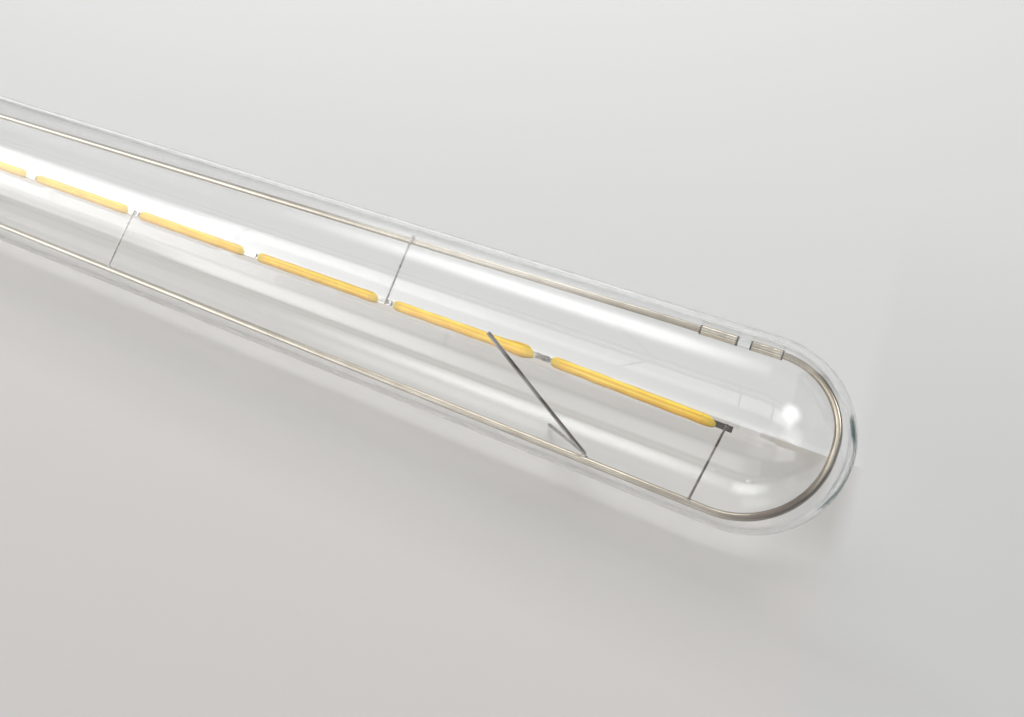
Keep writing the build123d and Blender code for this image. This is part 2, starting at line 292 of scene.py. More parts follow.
# Lamps, in metres and degrees. The key lamp's place is its angle above the near horizon, distance and station
BACKGROUND = (0.56, 0.56, 0.555)
AMBIENT = 0.25
KEY_PLACE = (118, 0.75, 0.05)
KEY_TARGET = (0.2, 0, 0)
KEY_SIZE = (1.0, 0.7)
KEY_RADIANCE = 3.6
ROUND_TARGET = (0.29, 0, 0)
ROUND_DIRECTION = (0.57, -0.02, 0.82)
ROUND_SIZE = (0.44, 0.44)
ROUND_RADIANCE = 7.5
ROUND_GLOW = 0.02
RIM_PANEL_PLACE = (0.11, 0.075, -0.006)
RIM_PANEL_SIZE = (0.35, 0.012)
RIM_PANEL_RADIANCE = 0.5
RIM_PANEL_FADE = (0.02, 0.12)

# Panels that glass and metal mirror: name, span of angles above the near horizon, span of slopes along the
# lamp, brightness, and the share that fades at each end of the panel's length and of its height
PANEL_CENTRE = 0.27
PANEL_DISTANCE = 0.9
PANELS = (
    ("low_panel", (1.5, 24), (-1.2, -0.3), 1.8, (0.3, 0.3), (0.06, 0.4)),
    ("near_panel", (1.5, 22), (-0.6, 0.35), 1.0, (0.3, 0.4), (0.06, 0.4)),
    ("left_panel", (3, 58), (-2.3, -0.3), 1.4, (0.1, 0.3), (0.1, 0.15)),
    ("left_low_panel", (13, 58), (-2.3, -0.8), 0.8, (0.1, 0.3), (0.15, 0.2)),
    ("left_top_panel", (50, 80), (-2.3, -0.66), 1.6, (0.1, 0.2), (0.2, 0.2)),
    ("middle_panel", (36, 58), (-0.75, 0.12), 1.2, (0.3, 0.5), (0.35, 0.35)),
    ("top_panel", (54, 80), (-0.85, 0.12), 1.0, (0.2, 0.5), (0.2, 0.4)),
    ("far_panel", (110, 141), (-0.95, 0.10), 4.0, (0.6, 0.27), (0.45, 0.45)),
    ("far_low_panel", (136, 168), (-0.85, -0.18), 0.9, (0.4, 0.2), (0.3, 0.4)),
)

# Dark cards: flags as angles and slopes, the right-hand card as station, half width and height in metres, and
# the outline of a card on the table beyond the dome in millimetres
FLAG_DISTANCE = 1.0
FLAG_COLOUR = (0.10, 0.085, 0.07)
FLAGS = (
    ("horizon_flag", (-0.7, 1.4), (-1.2, 0.6)),
    ("near_flag", (21, 36.5), (-0.9, 1.6)),
)
RIGHT_CARD = (1.0, 1.5, 1.2)
TEAL_COLOUR = (0.03, 0.075, 0.07)
TEAL_Z = -13.5
TEAL_CORNERS = (
    (304.5, -2.5), (307.5, 0.0), (309.5, 6.0), (310.5, 11.0), (312.5, 18.0), (318.0, 24.0), (328.0, 32.0),
    (332.0, 44.0), (322.0, 42.0), (314.5, 32.0), (310.5, 21.0), (308.0, 12.0), (305.0, 6.0),
)

# Camera
CAMERA_PLACE = (0.28706, -0.07353, 0.07939)
CAMERA_HEADING = 117.143
CAMERA_PITCH = 44.623
CAMERA_NEAR = 0.005
LENS = 26.016
SENSOR = 36.0

# Places worked out from the sizes
bore_r = tube_r - GLASS_WALL
neck_bore_r = NECK_RADIUS - GLASS_WALL
shoulder_x = neck_x + NECK_LENGTH
tube_x = shoulder_x + SHOULDER_LENGTH
flare_x = neck_x + FLARE_LENGTH
blend_x = flare_x + STEM_TUBE_LENGTH
press_x = blend_x + PRESS_BLEND
stem_top_x = press_x + PRESS_LENGTH
foot_x = stem_top_x - LEG_FOOT_DEPTH
rise_x = stem_top_x + LEG_RISE
knee_x = rise_x + KNEE_LENGTH
leg_y = bore_r - FRAME_SIDE_GAP - WIRE_RADIUS
apex_x = dome_x + bore_r - FRAME_TIP_GAP - WIRE_RADIUS
bend_far_radius = leg_y - BEND_SKEW
bend_near_radius = leg_y + BEND_SKEW - BEND_FLAT
sleeve_bend_x = apex_x - bend_far_radius - SLEEVE_BEND_LENGTH
sleeve_far_x = sleeve_bend_x - ROD_GAP - SLEEVE_FAR_LENGTH
parallel_x = sleeve_far_x - FAR_LEG_STRAIGHT
far_leg_end_x = sleeve_far_x + SLEEVE_FAR_LENGTH / 2
bend_end_x = sleeve_bend_x + SLEEVE_BEND_LENGTH / 2
chain_end_x = dome_x - CHAIN_END_GAP
pitch = FILAMENT_LENGTH + JOINT_GAP

to_frame = Matrix.Rotation(radians(LAMP_ROLL), 4, "X") @ Matrix.Scale(MM, 4)


# Shapes as (vertices, faces)
def skin(rings, closed=False, cap_start=True, cap_end=True):
    """A surface through equal rings of points; a one-point ring is a pole."""
    vertices = []
    starts = []
    for ring in rings:
        starts.append(len(vertices))
        vertices += ring
    faces = []
    pairs = list(zip(range(len(rings) - 1), range(1, len(rings))))
    if closed:
        pairs.append((len(rings) - 1, 0))
    for a, b in pairs:
        faces += strip(starts[a], len(rings[a]), starts[b], len(rings[b]))
    if not closed and cap_start and len(rings[0]) > 1:
        faces.append(tuple(reversed(range(len(rings[0])))))
    if not closed and cap_end and len(rings[-1]) > 1:
        faces.append(tuple(starts[-1] + k for k in range(len(rings[-1]))))
    return vertices, faces


def strip(a, count_a, b, count_b):
    """Faces between two neighbouring rings that start at vertices a and b."""
    count = max(count_a, count_b)
    faces = []
    for k in range(count):
        n = (k + 1) % count
        if count_a == 1:
            faces.append((a, b + n, b + k))
        elif count_b == 1:
            faces.append((a + k, a + n, b))
        else:
            faces.append((a + k, a + n, b + n, b + k))
    return faces


def circle(x, radius, sides, y=0.0, z=0.0):
    """A ring about an axis along X, or its centre where the radius is nothing."""
    if radius < 1e-6:
        return [Vector((x, y, z))]
    turns = [2 * pi * k / sides for k in range(sides)]
    return [Vector((x, y + radius * cos(t), z + radius * sin(t))) for t in turns]


def lathe(profile, sides, y=0.0, z=0.0, closed=False):
    """A solid of revolution about an axis along X from (station, radius) points, in +X order outside."""
    rings = [circle(x, radius, sides, y, z) for x, radius in profile]
    return skin(rings, closed)


def arc(centre_x, centre_r, radius, start, end, steps):
    """Points of a profile's round stretch, between two angles in degrees from +X."""
    angles = [radians(start + (end - start) * k / steps) for k in range(steps + 1)]
    return [(centre_x + radius * cos(a), centre_r + radius * sin(a)) for a in angles]


def ease(a, b, t):
    """Smooth step from a to b as t goes from 0 to 1."""
    t = min(max(t, 0.0), 1.0)
    return a + (b - a) * t * t * (3 - 2 * t)


def curve_share(t, first, second):
    """Share of the way at t on a cubic curve from 0 to 1, given the shares of its two handles."""
    u = 1 - t
    return 3 * u * u * t * first + 3 * u * t * t * second + t**3


def bent_path(points, radii, step=radians(3)):
    """Straight runs joined by tangent arcs, as points."""
    points = [Vector(p) for p in points]
    path = [points[0]]
    for before, corner, after, radius in zip(points, points[1:], points[2:], radii):
        into = (corner - before).normalized()
        out = (after - corner).normalized()
        turn = into.angle(out)
        if turn < 1e-4:
            path.append(corner)
            continue
        start = corner - into * radius * tan(turn / 2)
        centre = corner + (out - into).normalized() * radius / cos(turn / 2)
        axis = into.cross(out)
        count = max(2, ceil(turn / step))
        for k in range(count + 1):
            path.append(centre + Quaternion(axis, turn * k / count) @ (start - centre))
    path.append(points[-1])
    return path


def swept(path, radius, sides, edge=0.25):
    """A round wire along a path, its cut ends with a narrow worn edge."""
    runs = [(b - a).normalized() for a, b in zip(path, path[1:])]
    tangents = [runs[0]] + [(a + b).normalized() for a, b in zip(runs, runs[1:])] + [runs[-1]]
    turns = [2 * pi * n / sides for n in range(sides)]
    side = tangents[0].orthogonal().normalized()
    rings = []
    worn = edge * radius
    last = len(path) - 1
    for k, (point, along) in enumerate(zip(path, tangents)):
        side = (side - along * side.dot(along)).normalized()
        up = along.cross(side)
        offsets = [side * cos(t) + up * sin(t) for t in turns]
        if k == 0:
            rings.append([point + o * (radius - worn) for o in offsets])
            rings.append([point + along * worn + o * radius for o in offsets])
        elif k == last:
            rings.append([point - along * worn + o * radius for o in offsets])
            rings.append([point + o * (radius - worn) for o in offsets])
        else:
            rings.append([point + o * radius for o in offsets])
    return skin(rings)


def bead(place, form, rings=10, sides=18):
    """A rounded blob at a place, its form given as an offset from there and three half sizes."""
    offset, size = form
    centre = Vector(place) + Vector(offset)
    shape = []
    for k in range(rings + 1):
        t = pi * k / rings
        ring = circle(-cos(t), sin(t), sides)
        shape.append([centre + Vector(a * b for a, b in zip(p, size)) for p in ring])
    return skin(shape)


def joined(*shapes):
    """Several closed shapes in one mesh."""
    vertices = []
    faces = []
    for some_vertices, some_faces in shapes:
        start = len(vertices)
        vertices += some_vertices
        faces += [tuple(start + k for k in face) for face in some_faces]
    return vertices, faces


def turned_inside_out(shape):
    vertices, faces = shape
    return vertices, [tuple(reversed(face)) for face in faces]


def piece(name, shape, material, nodes, sharp=40):
    """A mesh piece that rides on the lamp and stands for nodes of the frame."""
    vertices, faces = shape
    mesh = bpy.data.meshes.new(name)
    mesh.from_pydata([to_frame @ Vector(v) for v in vertices], [], faces)
    mesh.validate()
    mesh.shade_smooth()
    mesh.set_sharp_from_angle(angle=radians(sharp))
    mesh.materials.append(material)
    made = bpy.data.objects.new(name, mesh)
    bpy.context.collection.objects.link(made)
    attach(made, "root")
    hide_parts(*nodes)
    return made


# Materials
class Graph:
    """The shader nodes of a material, lamp or world, with short ways to add more of them."""

    def __init__(self, tree):
        self.nodes = tree.nodes
        self.links = tree.links
        self.main = tree.nodes.get("Principled BSDF")

    def feed(self, socket, value):
        """Links another node's output to a socket, or sets a plain value there."""
        if isinstance(value, bpy.types.NodeSocket):
            self.links.new(value, socket)
        else:
            socket.default_value = value

    def node(self, kind, values=None, **settings):
        """The outputs of a new node, given its settings and what goes into it by name or number."""
        made = self.nodes.new("ShaderNode" + kind)
        for name, setting in settings.items():
            setattr(made, name, setting)
        for socket, value in (values or {}).items():
            self.feed(made.inputs[socket], value)
        return made.outputs

    def surface(self, values):
        """Sets or links inputs of the main shader by name."""
        for name, value in values.items():
            self.feed(self.main.inputs[name], value)

    def maths(self, operation, first, second):
        return self.node("Math", {0: first, 1: second}, operation=operation)["Value"]

    def product(self, first, second):
        return self.maths("MULTIPLY", first, second)

    def place(self, kind="Object"):
        """A point's place: in metres in the lamp's own coordinates, or Generated, as shares of its piece."""
        return self.node("TexCoord")[kind]

    def split(self, vector):
        """The three parts of a vector."""
        return self.node("SeparateXYZ", {"Vector": vector})

    def along_piece(self):
        """Share of the way along a piece, and share of its length to the nearer end."""
        along = self.split(self.place("Generated"))["X"]
        return along, self.maths("PINGPONG", along, 0.5)

    def across_frame(self):
        """Station along the lamp and distance across it in the plane of the wire frame, in metres."""
        place = self.place()
        across = (0, cos(radians(LAMP_ROLL)), sin(radians(LAMP_ROLL)))
        distance = self.node("VectorMath", {0: place, 1: across}, operation="DOT_PRODUCT")["Value"]
        return self.split(place)["X"], distance

    def noise(self, scale, detail, stretch=(1, 1, 1)):
        """Noise in the lamp's own coordinates, drawn out by a factor along each axis."""
        place = self.node("Mapping", {"Vector": self.place(), "Scale": stretch})["Vector"]
        return self.node("TexNoise", {"Vector": place, "Scale": scale, "Detail": detail})["Fac"]

    def remap(self, value, low, high, start=0.3, end=0.7, smooth=False):
        """A number that runs from low to high as value goes from start to end."""
        values = {"Value": value, "From Min": start, "From Max": end, "To Min": low, "To Max": high}
        kind = "SMOOTHSTEP" if smooth else "LINEAR"
        return self.node("MapRange", values, interpolation_type=kind)["Result"]

    def mixed(self, share, first, second, blend="MIX"):
        """Two colours mixed by a share."""
        first, second = ((*c, 1) if isinstance(c, tuple) else c for c in (first, second))
        values = {"Factor": share, "A": first, "B": second}
        return self.node("Mix", values, data_type="RGBA", blend_type=blend)["Result"]

    def bump(self, height, strength, distance):
        return self.node("Bump", {"Height": height, "Strength": strength, "Distance": distance})["Normal"]

    def ramp(self, value, steps):
        """The colour that steps of (position, colour) give for a number from 0 to 1."""
        node = self.nodes.new("ShaderNodeValToRGB")
        stops = node.color_ramp.elements
        while len(stops) < len(steps):
            stops.new(0.5)
        for stop, (position, colour) in zip(stops, steps):
            stop.position = position
            stop.color = (*colour, 1)
        self.links.new(value, node.inputs["Fac"])
        return node.outputs["Color"]

    def paint_over(self, share, colour):
        """Lays a colour over the one that the main shader has so far."""
        base = self.main.inputs["Base Color"]
        self.links.new(self.mixed(share, base.links[0].from_socket, colour), base)

    def show_mix(self, share, first, second, output):
        """Shows two shaders mixed by a share."""
        mix = self.node("MixShader", {0: share, 1: first, 2: second})["Shader"]
        self.links.new(mix, self.nodes[output].inputs["Surface"])


def new_material(name):
    material = bpy.data.materials.new(name)
    material.use_nodes = True
    return material, Graph(material.node_tree)


def metal(name, colour, dark, rough, grain=900, stretch=(0.06, 1, 1), relief=0.1):
    """Drawn or rolled metal: streaks along the stretch, with tarnish in the colour."""
    material, graph = new_material(name)
    streaks = graph.noise(grain, 3, stretch)
    tarnish = graph.noise(grain / 4, 4)
    graph.surface({
        "Metallic": 1,
        "Base Color": graph.mixed(graph.remap(tarnish, 0, 1), dark, colour),
        "Roughness": graph.remap(streaks, *rough),
        "Normal": graph.bump(streaks, relief, METAL_RELIEF),
    })
    return material


def painted_lighter_towards_cap(material, bright, stations):
    """Paints a metal lighter away from the dome, towards the cap: painted light, as if it were lit more
    brightly there.
    """
    graph = Graph(material.node_tree)
    station, _ = graph.across_frame()
    graph.paint_over(graph.remap(station, 1, 0, *stations), bright)


def wire_with_painted_reflection(name, colour, dark, rough, bright):
    """Drawn wire with a painted dark brown reflection on the near half of its bend."""
    material = metal(name, colour, dark, rough, relief=0.06)
    painted_lighter_towards_cap(material, bright, WIRE_PAINTED_LIGHT)
    graph = Graph(material.node_tree)
    station, across = graph.across_frame()
    on_bend = graph.remap(station, 0, 1, *BEND_REFLECTION_STATIONS)
    near_half = graph.remap(across, 1, 0, *BEND_REFLECTION_OFFSETS)
    # Painted reflection: the near half of the bend painted dark brown
    graph.paint_over(graph.product(on_bend, near_half), BEND_PAINTED_REFLECTION)
    return material


def sleeve_with_painted_end_shade(name, colour, dark, rough, ring):
    """Rolled sleeve metal, with painted shade at its cut ends."""
    material = metal(name, colour, dark, rough)
    graph = Graph(material.node_tree)
    _, to_end = graph.along_piece()
    # Painted shade: a dark ring at each cut end
    graph.paint_over(graph.remap(to_end, 1, 0, *SLEEVE_END_SHADE), ring)
    return material


def clear_glass(name, tint):
    """Glass that lets the lamps' light pass to what it encloses."""
    material, graph = new_material(name)
    graph.surface({"Base Color": (*tint, 1), "Transmission Weight": 1, "IOR": GLASS_INDEX, "Roughness": 0})
    passing = graph.node("BsdfTransparent", {"Color": (*GLASS_SHADOW, 1)})["BSDF"]
    shadow = graph.node("LightPath")["Is Shadow Ray"]
    graph.show_mix(shadow, graph.main.outputs["BSDF"], passing, "Material Output")
    return material


def phosphor_coat():
    """Silicone filled with phosphor: streaks along the strip that carry painted highlights and painted light
    and shade across it, and thin greenish ends with a few bubbles.
    """
    material, graph = new_material("phosphor_coat")
    along, to_end = graph.along_piece()
    station, offset = graph.across_frame()
    last_joint = (chain_end_x - pitch) * MM
    middle = graph.remap(station, CHAIN_OFFSET * MM, -END_JOINT_SAG * MM, last_joint, chain_end_x * MM)
    half = FILAMENT_WIDTH / 2 * MM
    across = graph.remap(graph.maths("SUBTRACT", offset, middle), 0, 1, -half, half)
    wander = graph.remap(graph.noise(500, 2, (0.12, 1, 1)), -STREAK_WANDER, STREAK_WANDER)
    # Painted light across the strip: a lighter near half, a darker far half and painted highlight stripes
    streaks = graph.ramp(graph.maths("ADD", across, wander), COAT_STREAKS_AND_PAINTED_LIGHT)
    cloud = graph.noise(900, 3, (0.35, 1, 1))
    clouded = graph.mixed(graph.remap(cloud, 0, 1), streaks, CLOUD_COLOUR, "MULTIPLY")
    body = graph.mixed(graph.remap(to_end, 1, 0, *THIN_END), clouded, THIN_COLOUR)
    bubbles = graph.node("TexVoronoi", {"Vector": graph.place(), "Scale": BUBBLE_SCALE})["Distance"]
    spots = graph.remap(bubbles, 1, 0, *BUBBLE_SIZE)
    at_tip = graph.remap(along, 0, BUBBLE_STRENGTH, *BUBBLE_STATIONS)
    graph.surface({
        "Base Color": graph.mixed(graph.product(spots, at_tip), body, BUBBLE_COLOUR),
        "Roughness": graph.remap(cloud, 0.32, 0.5),
        "Specular IOR Level": 0.15,
        "Subsurface Weight": 0.1,
        "Subsurface Radius": (1, 0.6, 0.1),
        "Subsurface Scale": 0.0003,
        "Normal": graph.bump(graph.noise(2600, 2), 0.12, COAT_RELIEF),
    })
    return material


def speckled(name, dark, light, rough, grain=1500, relief=0.2):
    """A dull solid whose colour and roughness vary in fine grains."""
    material, graph = new_material(name)
    grains = graph.noise(grain, 4)
    graph.surface({
        "Base Color": graph.mixed(graph.remap(grains, 0, 1), dark, light),
        "Roughness": graph.remap(grains, *rough),
        "Normal": graph.bump(grains, relief, SPECKLE_RELIEF),
    })
    return material


# Finishes. Metals and dull solids have two colours and a span of roughness, then grain, stretch or relief
bulb_glass = clear_glass("bulb_glass", (0.997, 0.999, 0.998))
stem_glass = clear_glass("stem_glass", (0.97, 0.99, 0.98))
nickel = wire_with_painted_reflection(
    "nickel_wire", (0.59, 0.54, 0.455), (0.45, 0.40, 0.325), (0.07, 0.16), bright=(0.76, 0.72, 0.64)
)
sleeve_metal = sleeve_with_painted_end_shade(
    "sleeve_metal", (0.80, 0.74, 0.63), (0.58, 0.53, 0.44), (0.12, 0.22), ring=(0.06, 0.05, 0.04)
)
spring_steel = metal("spring_steel", (0.60, 0.59, 0.58), (0.40, 0.39, 0.38), (0.12, 0.24))
tab_metal = metal("tab_metal", (0.72, 0.69, 0.64), (0.045, 0.04, 0.035), (0.14, 0.28), 5200, (0.6, 1, 1))
# Painted light: tabs lighter towards the cap
painted_lighter_towards_cap(tab_metal, (0.86, 0.85, 0.83), TAB_PAINTED_LIGHT)
# The dome end's tab, painted dark: painted shade in place of the dark surroundings that it mirrors
painted_dark_tab = metal("painted_dark_tab", (0.09, 0.075, 0.06), (0.035, 0.03, 0.027), (0.2, 0.4))
thin_wire = metal("thin_wire", (0.24, 0.215, 0.185), (0.14, 0.125, 0.105), (0.2, 0.35))
# Painted light: feed wires lighter towards the cap
painted_lighter_towards_cap(thin_wire, (0.66, 0.64, 0.61), FEED_PAINTED_LIGHT)
cap_metal = metal("cap_metal", (0.86, 0.85, 0.83), (0.72, 0.71, 0.69), (0.20, 0.36), 500, (1, 0.08, 0.08))
contact_metal = metal("contact_metal", (0.80, 0.70, 0.48), (0.62, 0.52, 0.33), (0.22, 0.42), 700, (1, 1, 1))
copper = metal("copper_wire", (0.80, 0.62, 0.48), (0.62, 0.42, 0.30), (0.2, 0.4))
cement = speckled("basing_cement", (0.52, 0.47, 0.38), (0.70, 0.66, 0.57), (0.75, 0.95), 900, 0.6)
black_glass = speckled(
    "black_insulator", (0.012, 0.011, 0.014), (0.030, 0.027, 0.032), (0.06, 0.2), 300, 0.05
)
laminate = speckled("board_laminate", (0.02, 0.13, 0.05), (0.04, 0.20, 0.08), (0.3, 0.5))
package = speckled("black_package", (0.012, 0.012, 0.014), (0.035, 0.035, 0.038), (0.5, 0.75))
can_sleeve = speckled("capacitor_sleeve", (0.015, 0.02, 0.04), (0.03, 0.035, 0.06), (0.2, 0.4))
lacquer = speckled("resistor_coat", (0.16, 0.30, 0.34), (0.24, 0.38, 0.42), (0.25, 0.45))
phosphor = phosphor_coat()


# Glass bulb
def bulb_skin(neck_radius, radius):
    """Profile of one side of the bulb's wall, from the neck to the tip of the dome."""
    shoulder = []
    for k in range(13):
        t = k / 12
        x = shoulder_x + SHOULDER_LENGTH * curve_share(t, *SHOULDER_HANDLES)
        shoulder.append((x, ease(neck_radius, radius, t)))
    straight = [(tube_x + (dome_x - tube_x) * k / 12, radius) for k in range(1, 12)]
    dome = arc(dome_x, 0, radius, 90, 0, 56)
    dome[-1] = (dome_x + radius, 0)
    return [(neck_x, neck_radius)] + shoulder + straight + dome


def glass_tube():
    sides = 224
    outer = [circle(x, r, sides) for x, r in bulb_skin(NECK_RADIUS, tube_r)]
    inner = [circle(x, r, sides) for x, r in bulb_skin(neck_bore_r, bore_r)]
    rings = list(reversed(inner)) + outer
    return piece("bulb", skin(rings), bulb_glass, ["glass_tube"])


# Glass stem
def flare(rim_x, rim_radius, tube_radius, steps=14):
    """Trumpet curve from the flare's rim to the stem's straight tube."""
    run = flare_x - rim_x
    points = []
    for k in range(steps + 1):
        t = k / steps
        x = rim_x + run * curve_share(t, *FLARE_HANDLES)
        points.append((x, tube_radius + (rim_radius - tube_radius) * (1 - t) ** 3))
    return points


def press_ring(x, share, shrink, sides):
    """Section of the stem on its way from round (share 0) to the flat press (share 1)."""
    width, thickness = (s / 2 - shrink for s in PRESS_SIZE)
    power = PRESS_SQUARENESS
    ring = []
    for k in range(sides):
        t = 2 * pi * k / sides
        flat_r = ((abs(cos(t)) / width) ** power + (abs(sin(t)) / thickness) ** power) ** (-1 / power)
        radius = STEM_RADIUS + (flat_r - STEM_RADIUS) * share
        ring.append(Vector((x, radius * cos(t), radius * sin(t))))
    return ring


def glass_stem():
    sides = 96
    tip_x = neck_x - EXHAUST_STUB
    rim_r = neck_bore_r - STEM_WALL
    stem_bore = STEM_RADIUS - STEM_WALL
    outside = [(tip_x + EXHAUST_TIP * (1 + x), EXHAUST_RADIUS * r) for x, r in arc(0, 0, 1, 180, 90, 8)]
    fillet_x = blend_x - STEM_FILLET_SINK
    outside += [(blend_x - STEM_FILLET, EXHAUST_RADIUS), (fillet_x, EXHAUST_RADIUS + STEM_FILLET_SINK)]
    outside += [(blend_x, EXHAUST_RADIUS + STEM_FILLET), (blend_x, stem_bore - STEM_FILLET)]
    outside += [(fillet_x, stem_bore - STEM_FILLET_SINK)]
    outside += list(reversed(flare(neck_x, rim_r, stem_bore)))
    outer_rim = neck_bore_r - SEAL_GAP
    outside += [(neck_x, outer_rim - FLARE_EDGE), (neck_x + FLARE_EDGE, outer_rim)]
    outside += flare(neck_x + FLARE_LAND, outer_rim, STEM_RADIUS)
    rings = [circle(x, r, sides) for x, r in outside]
    for k in range(11):
        t = k / 10
        rings.append(press_ring(blend_x + PRESS_BLEND * t, ease(0, 1, t), 0, sides))
    for k in range(6):
        t = radians(90 * k / 5)
        x = stem_top_x - PRESS_EDGE * (1 - sin(t))
        rings.append(press_ring(x, 1, PRESS_EDGE * (1 - cos(t)), sides))
    rings.append([Vector((stem_top_x, 0, 0))])
    bore_end = blend_x + PRESS_BLEND / 2
    bore = [(tip_x + x, r) for x, r in BORE_START] + [(bore_end - x, r) for x, r in BORE_END]
    solid = joined(skin(rings), turned_inside_out(lathe(bore, 48)))
    return piece("stem", solid, stem_glass, ["glass_stem"])


# Screw cap
def thread_depth(x, angle):
    """How far the rolled thread is sunk below its crests."""
    turns = (x - CREST_STATION) / THREAD_PITCH - (angle - radians(CREST_ANGLE - LAMP_ROLL)) / (2 * pi)
    wave = (1 - cos(2 * pi * turns)) / 2
    start = ease(0, 1, (x - THREAD_START) / THREAD_RUNOUT)
    end = ease(0, 1, (THREAD_END - x) / THREAD_RUNOUT)
    return THREAD_DEPTH * wave * start * end


def shell_ring(x, radius, inset, sides):
    ring = []
    for k in range(sides):
        t = 2 * pi * k / sides
        r = radius - inset - (thread_depth(x, t) if CONE_X < x < STEP_X else 0)
        ring.append(Vector((x, r * cos(t), r * sin(t))))
    return ring


def rounded_step(start, low, end, high, run, rise):
    """A step in a profile from one radius to a larger one, eased at both ends."""
    return [(start, low), (start + run, low + rise), (end - run, high - rise), (end, high)]


def shell_stations():
    """Stations of the sheet from the lip to the rim, with the radius of its outer side."""
    run, rise = LIP_CURVE
    stations = [(LIP_X, LIP_RADIUS), (LIP_X + run, LIP_RADIUS + rise)]
    stations += [(CONE_X + x, THREAD_RADIUS + r) for x, r in CONE_ROUND]
    for k in range(THREAD_STEPS + 1):
        stations.append((THREAD_START + (THREAD_END - THREAD_START) * k / THREAD_STEPS, THREAD_RADIUS))
    stations += rounded_step(STEP_X, THREAD_RADIUS, SKIRT_X, SKIRT_RADIUS, *STEP_ROUND)
    stations += rounded_step(cap_x - RIM_HEIGHT, SKIRT_RADIUS, cap_x, SKIRT_RADIUS + RIM_FLARE, *RIM_ROUND)
    return stations


def screw_shell():
    sides = 144
    stations = shell_stations()
    outer = [shell_ring(x, r, 0, sides) for x, r in stations]
    inner = [shell_ring(x, r, SHEET, sides) for x, r in reversed(stations)]
    solid = skin(outer + inner, closed=True)
    return piece("threaded_shell", solid, cap_metal, ["screw_shell"], 60)


def cap_pieces():
    """The insulator, the end contact and the cement that shows at the rim."""
    wall = THREAD_RADIUS - SHEET - TOUCH
    body = [(CONTACT_THICKNESS, 0)]
    body += [(CONTACT_THICKNESS + x, INSULATOR_FACE + r) for x, r in INSULATOR_EDGE]
    body += [*INSULATOR_CURVE, (LIP_X, LIP_RADIUS - SHEET - TOUCH), (CONE_X + SHEET / 2, wall)]
    body += [(BOARD_X, wall), (BOARD_X, 0)]
    piece("insulator", lathe(body, 96), black_glass, ["cap_insulator"], 50)
    head = [(0, 0)] + arc(CONTACT_EDGE, CONTACT_RADIUS - CONTACT_EDGE, CONTACT_EDGE, 180, 90, 6)
    head += [(CONTACT_THICKNESS, CONTACT_RADIUS), (CONTACT_THICKNESS, PIN_RADIUS)]
    head += [(PIN_END - PIN_EDGE, PIN_RADIUS), (PIN_END, PIN_RADIUS - PIN_EDGE), (PIN_END, 0)]
    piece("end_contact", lathe(head, 72), contact_metal, ["centre_contact"], 50)
    start = SKIRT_X + CEMENT_SETBACK
    end = cap_x - RIM_HEIGHT - CEMENT_SETBACK
    outer = SKIRT_RADIUS - SHEET - CEMENT_GAP
    inner = NECK_RADIUS + CEMENT_GAP
    ring = [(end + CEMENT_CREEP, inner), (end - CEMENT_DIP, (outer + NECK_RADIUS) / 2)]
    ring += [(end, outer), (start, outer), (start, inner)]
    cement_ring = turned_inside_out(lathe(ring, 120, closed=True))
    piece("cement", cement_ring, cement, ["basing_cement"], 50)


# Wire frame
def near_leg_y(x):
    return leg_y - NEAR_LEG_TAPER * (apex_x - x) / (apex_x - knee_x)


def far_leg_y(x):
    return leg_y - FAR_LEG_TAPER * max(parallel_x - x, 0) / (parallel_x - knee_x)


def frame_wires():
    near = (
        (foot_x, -FOOT_Y, 0),
        (rise_x, -FOOT_Y, 0),
        (knee_x, -near_leg_y(knee_x), 0),
        (apex_x, -leg_y, 0),
        (apex_x, leg_y, 0),
        (bend_end_x, leg_y, 0),
    )
    far = (
        (foot_x, FOOT_Y, 0),
        (rise_x, FOOT_Y, 0),
        (knee_x, far_leg_y(knee_x), 0),
        (parallel_x, leg_y, 0),
        (far_leg_end_x, leg_y, 0),
    )
    near_path = bent_path(near, (KNEE_RADIUS, KNEE_RADIUS, bend_near_radius, bend_far_radius))
    far_path = bent_path(far, (KNEE_RADIUS, KNEE_RADIUS, FAR_LEG_EASE))
    piece("near_leg", swept(near_path, WIRE_RADIUS, 28), nickel, ["frame_wire_near"])
    piece("far_leg", swept(far_path, WIRE_RADIUS, 28), nickel, ["frame_wire_far"])
    for name, y in (("near", -FOOT_Y), ("far", FOOT_Y)):
        path = [Vector((BOARD_TOP_X, y, 0)), Vector((foot_x, y, 0))]
        piece(f"lead_{name}", swept(path, LEAD_RADIUS, 16), thin_wire, [f"lead_in_{name}"])


def sleeve(name, start, length, node):
    """Rolled metal tube with crisp ends and two faint crimps."""
    outer = WIRE_RADIUS + SLEEVE_WALL
    inner = WIRE_RADIUS + SLEEVE_GAP
    end = start + length
    profile = [(start, inner), (start, outer - SLEEVE_LIP), (start + SLEEVE_LIP, outer)]
    for share in CRIMP_SHARES:
        profile += [(start + length * share + x, outer - depth) for x, depth in CRIMP]
    profile += [(end - SLEEVE_LIP, outer), (end, outer - SLEEVE_LIP), (end, inner)]
    return piece(name, lathe(profile, 40, leg_y, 0, True), sleeve_metal, [node], 30)


